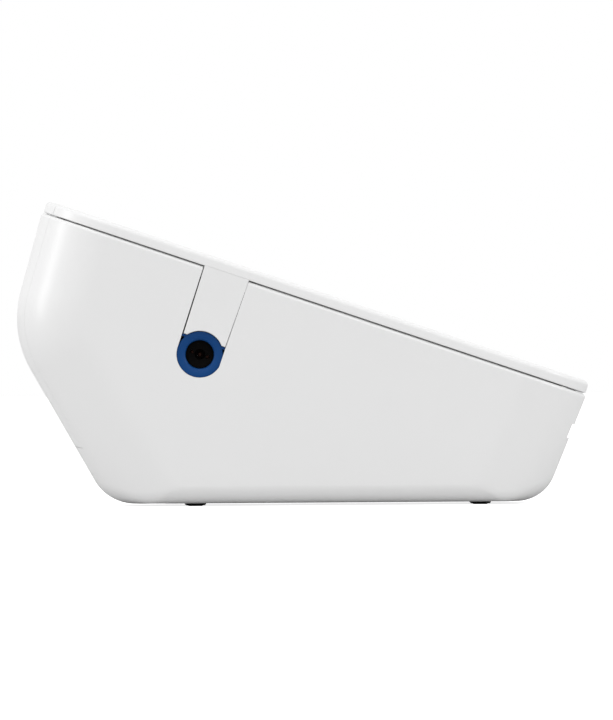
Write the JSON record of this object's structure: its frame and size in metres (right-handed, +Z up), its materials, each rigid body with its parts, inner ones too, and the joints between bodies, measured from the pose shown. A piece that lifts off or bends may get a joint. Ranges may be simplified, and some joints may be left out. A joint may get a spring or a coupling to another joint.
{
  "type": "card payment terminal",
  "caption": "Countertop card payment terminal: wedge housing, touch glass, chip and stripe slots, receipt printer behind a rear door, side power port.",
  "frame": {"origin": "on the table under the middle of the body's box", "axes": "+Z up, -Y the user's side, +X the user's right"},
  "size_m": [0.086, 0.1418, 0.0758],
  "materials": {
    "white_shell": "satin gloss moulded white",
    "touch_glass": "black glass, polished, dark when off",
    "black_plastic": "fine matt",
    "port_blue": "smooth moulded blue",
    "display": "dark panel",
    "steel": "plain",
    "brass": "plain",
    "copper_foil": "lacquered copper film",
    "grey_plastic": "fine matt",
    "board_green": "solder mask",
    "battery_wrap": "shrink film",
    "ivory_plastic": "natural acetal",
    "head_ceramic": "glazed ceramic",
    "black_rubber": "matt",
    "label_film": "blank film",
    "paper": "thermal paper",
    "cardboard": "wound board"
  },
  "bodies": {
    "root": {"housing": "white_shell", "top_cover": "white_shell", "glass_panel": "touch_glass", "card_reader_body": "black_plastic", "card_slot_bezel": "black_plastic", "swipe_channel": "black_plastic", "port_socket": "black_plastic", "button_switch": "black_plastic", "tamper_switches": "black_plastic", "speaker": "black_plastic", "board_chips": "black_plastic", "glass_gasket": "black_plastic", "port_collar": "port_blue", "lcd_panel": "display", "lcd_frame": "steel", "board_screws": "steel", "backup_cell": "steel", "case_screws": "steel", "printer_frame": "steel", "head_pivot_pin": "steel", "head_springs": "steel", "tear_bar": "steel", "stepper_motor": "steel", "idler_pin": "steel", "door_hinge_pin": "steel", "catch_plates": "steel", "card_lever_pin": "steel", "mag_head_spring": "steel", "card_contacts": "brass", "port_contacts": "brass", "contactless_antenna": "copper_foil", "display_ribbon": "copper_foil", "mid_plate": "grey_plastic", "chassis": "grey_plastic", "main_board": "board_green", "battery_pack": "battery_wrap", "foot_strip_front": "black_rubber", "foot_strip_rear": "black_rubber", "underside_label": "label_film"},
    "door": {"paper_door": "white_shell", "platen_bushes": "brass", "catch_magnets": "steel"},
    "platen": {"platen_shaft": "steel", "platen_roller": "black_rubber", "platen_gear": "ivory_plastic"},
    "idler": {"idler_gear": "ivory_plastic"},
    "pinion": {"motor_shaft": "steel", "motor_pinion": "brass"},
    "roll": {"paper_roll": "paper", "paper_core": "cardboard"},
    "thermal_head": {"print_head": "head_ceramic", "head_heatsink": "steel", "head_ribbon": "copper_foil"},
    "stripe_head": {"mag_head": "steel"},
    "button": {"power_button": "white_shell"},
    "lever": {"card_lever": "ivory_plastic"}
  },
  "joints": [
    {"name": "door_hinge", "type": "hinge", "parent": "root", "child": "door", "pos_m": [0, 0.05443, 0.02026], "axis": [-1, 0, 0], "range_deg": [0, 70]},
    {"name": "platen_spin", "type": "hinge", "parent": "door", "child": "platen", "pos_m": [0, 0.06071, 0.06158], "axis": [1, 0, 0], "continuous": true},
    {"name": "idler_spin", "type": "hinge", "parent": "root", "child": "idler", "pos_m": [-0.0304, 0.05346, 0.05625], "axis": [1, 0, 0], "continuous": true},
    {"name": "pinion_spin", "type": "hinge", "parent": "root", "child": "pinion", "pos_m": [-0.0304, 0.04511, 0.05466], "axis": [1, 0, 0], "continuous": true},
    {"name": "paper_roll_spin", "type": "hinge", "parent": "root", "child": "roll", "pos_m": [0, 0.03199, 0.03061], "axis": [1, 0, 0], "continuous": true},
    {"name": "print_head_pivot", "type": "hinge", "parent": "root", "child": "thermal_head", "pos_m": [0, 0.05746, 0.05254], "axis": [1, 0, 0], "range_deg": [0, 4], "stiffness_Nm_per_rad": 0.5, "springref_deg": -5.73, "deforming": ["head_springs"]},
    {"name": "stripe_head_travel", "type": "slide", "parent": "root", "child": "stripe_head", "axis": [-1, 0, 0], "range_m": [0, 0.0003], "stiffness_N_per_m": 700, "springref_m": -0.0002, "deforming": ["mag_head_spring"]},
    {"name": "power_button_press", "type": "slide", "parent": "root", "child": "button", "axis": [-1, 0, 0], "range_m": [0, 0.0006], "stiffness_N_per_m": 1200, "springref_m": -0.0002},
    {"name": "card_lever_pivot", "type": "hinge", "parent": "root", "child": "lever", "pos_m": [0.02, -0.01829, 0.03454], "axis": [0, 0.3239, -0.9461], "range_deg": [0, 25], "stiffness_Nm_per_rad": 0.002, "springref_deg": -5.73}
  ],
  "couplings": [
    {"joint": "idler_spin", "follows": "platen_spin", "ratio": -0.5},
    {"joint": "pinion_spin", "follows": "platen_spin", "ratio": 1.2}
  ]
}
